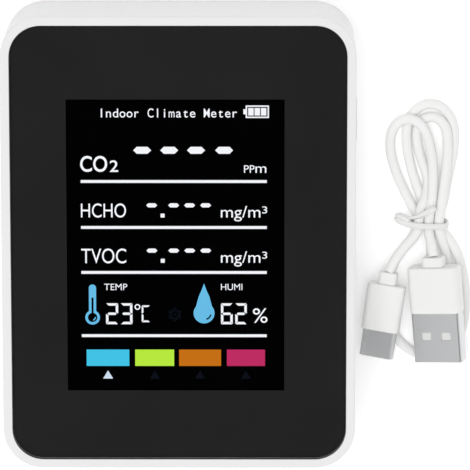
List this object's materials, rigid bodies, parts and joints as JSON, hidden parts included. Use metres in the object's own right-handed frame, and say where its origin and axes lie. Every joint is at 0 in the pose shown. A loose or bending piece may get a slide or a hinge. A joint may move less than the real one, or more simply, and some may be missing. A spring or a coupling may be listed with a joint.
{
  "type": "air quality monitor",
  "caption": "Desktop air quality monitor with an upright LCD, gas sensors, battery, power button, charging socket and a loose tied USB cable.",
  "frame": {"origin": "centre of the monitor's rear face, on the surface it lies on", "axes": "+Z out of the display, +Y to the display's top, +X to the display's right, where the button and charging socket are"},
  "size_m": [0.1127, 0.109, 0.0285],
  "materials": {
    "white_case": "fine satin texture",
    "lens_clear": "clear polished acrylic",
    "black_ink": "screen-printed black",
    "tape": "adhesive tape",
    "foam": "closed-cell foam",
    "polariser": "dark polarising film",
    "lcd_glass": "display glass",
    "diffuser": "matt white film",
    "guide": "clear acrylic",
    "led_white": "phosphor white",
    "white_plastic": "moulded white",
    "flex": "polyimide film",
    "board_green": "solder mask",
    "chip_black": "moulded epoxy",
    "component_tan": "ceramic",
    "crystal_metal": "drawn metal can",
    "gold": "gold plated",
    "sensor_metal": "stamped metal",
    "sensor_white": "moulded",
    "buzzer_black": "moulded",
    "battery_foil": "laminated pouch foil",
    "lead_red": "PVC",
    "lead_black": "PVC",
    "button_white": "fine satin texture",
    "connector_steel": "nickel plated",
    "insert_black": "moulded",
    "insert_white": "moulded",
    "screw_steel": "zinc plated",
    "cable_white": "soft PVC, matt",
    "plug_white": "moulded satin",
    "tie_white": "coated wire tie",
    "filter_grey": "non-woven"
  },
  "bodies": {
    "housing": {"front_case": "white_case", "rear_cover": "white_case", "dust_filter": "filter_grey", "front_lens": "lens_clear", "lens_mask": "black_ink", "lens_adhesive": "tape", "lcd_gasket": "foam", "lcd_front_polariser": "polariser", "lcd_upper_glass": "lcd_glass", "lcd_lower_glass": "lcd_glass", "lcd_rear_polariser": "polariser", "backlight_diffuser": "diffuser", "light_guide": "guide", "backlight_reflector": "diffuser", "backlight_leds": "led_white", "lcd_holder": "white_plastic", "lcd_flex": "flex", "flex_connector": "insert_white", "main_board": "board_green", "microcontroller": "chip_black", "charger_chip": "chip_black", "power_inductor": "chip_black", "crystal": "crystal_metal", "board_passives": "component_tan", "co2_sensor_board": "board_green", "co2_sensor_chamber": "gold", "co2_sensor_pins": "gold", "formaldehyde_sensor": "sensor_white", "voc_sensor": "sensor_metal", "humidity_sensor": "sensor_white", "buzzer": "buzzer_black", "battery_pouch": "battery_foil", "battery_tape": "tape", "battery_protection_board": "board_green", "battery_lead_red": "lead_red", "battery_lead_black": "lead_black", "battery_plug": "insert_white", "battery_header": "insert_white", "tact_switch": "chip_black", "usb_socket_shell": "connector_steel", "usb_socket_tongue": "insert_black", "housing_screws": "screw_steel", "board_screws": "screw_steel"},
    "power_button": {"power_button": "button_white"},
    "switch_plunger": {"switch_plunger": "insert_black"},
    "charging_cable": {"usb_a_relief": "plug_white", "usb_a_overmould": "plug_white", "usb_a_shell": "connector_steel", "usb_a_insert": "insert_white", "usb_a_contacts": "gold", "usb_c_relief": "plug_white", "usb_c_overmould": "plug_white", "usb_c_shell": "connector_steel", "usb_c_insert": "insert_black", "cable_tie": "tie_white", "cable_hank": "cable_white", "cable_lead_a": "cable_white", "cable_lead_c": "cable_white"}
  },
  "joints": [
    {"name": "power_button_press", "type": "slide", "parent": "housing", "child": "power_button", "axis": [-1, 0, 0], "range_m": [0, 0.0004], "stiffness_N_per_m": 400},
    {"name": "switch_plunger_press", "type": "slide", "parent": "housing", "child": "switch_plunger", "axis": [-1, 0, 0], "range_m": [0, 0.0004]},
    {"name": "cable_slide", "type": "slide", "parent": "housing", "child": "charging_cable", "axis": [1, 0, 0], "range_m": [0, 0.06]}
  ],
  "couplings": [
    {"joint": "switch_plunger_press", "follows": "power_button_press", "ratio": 1}
  ]
}
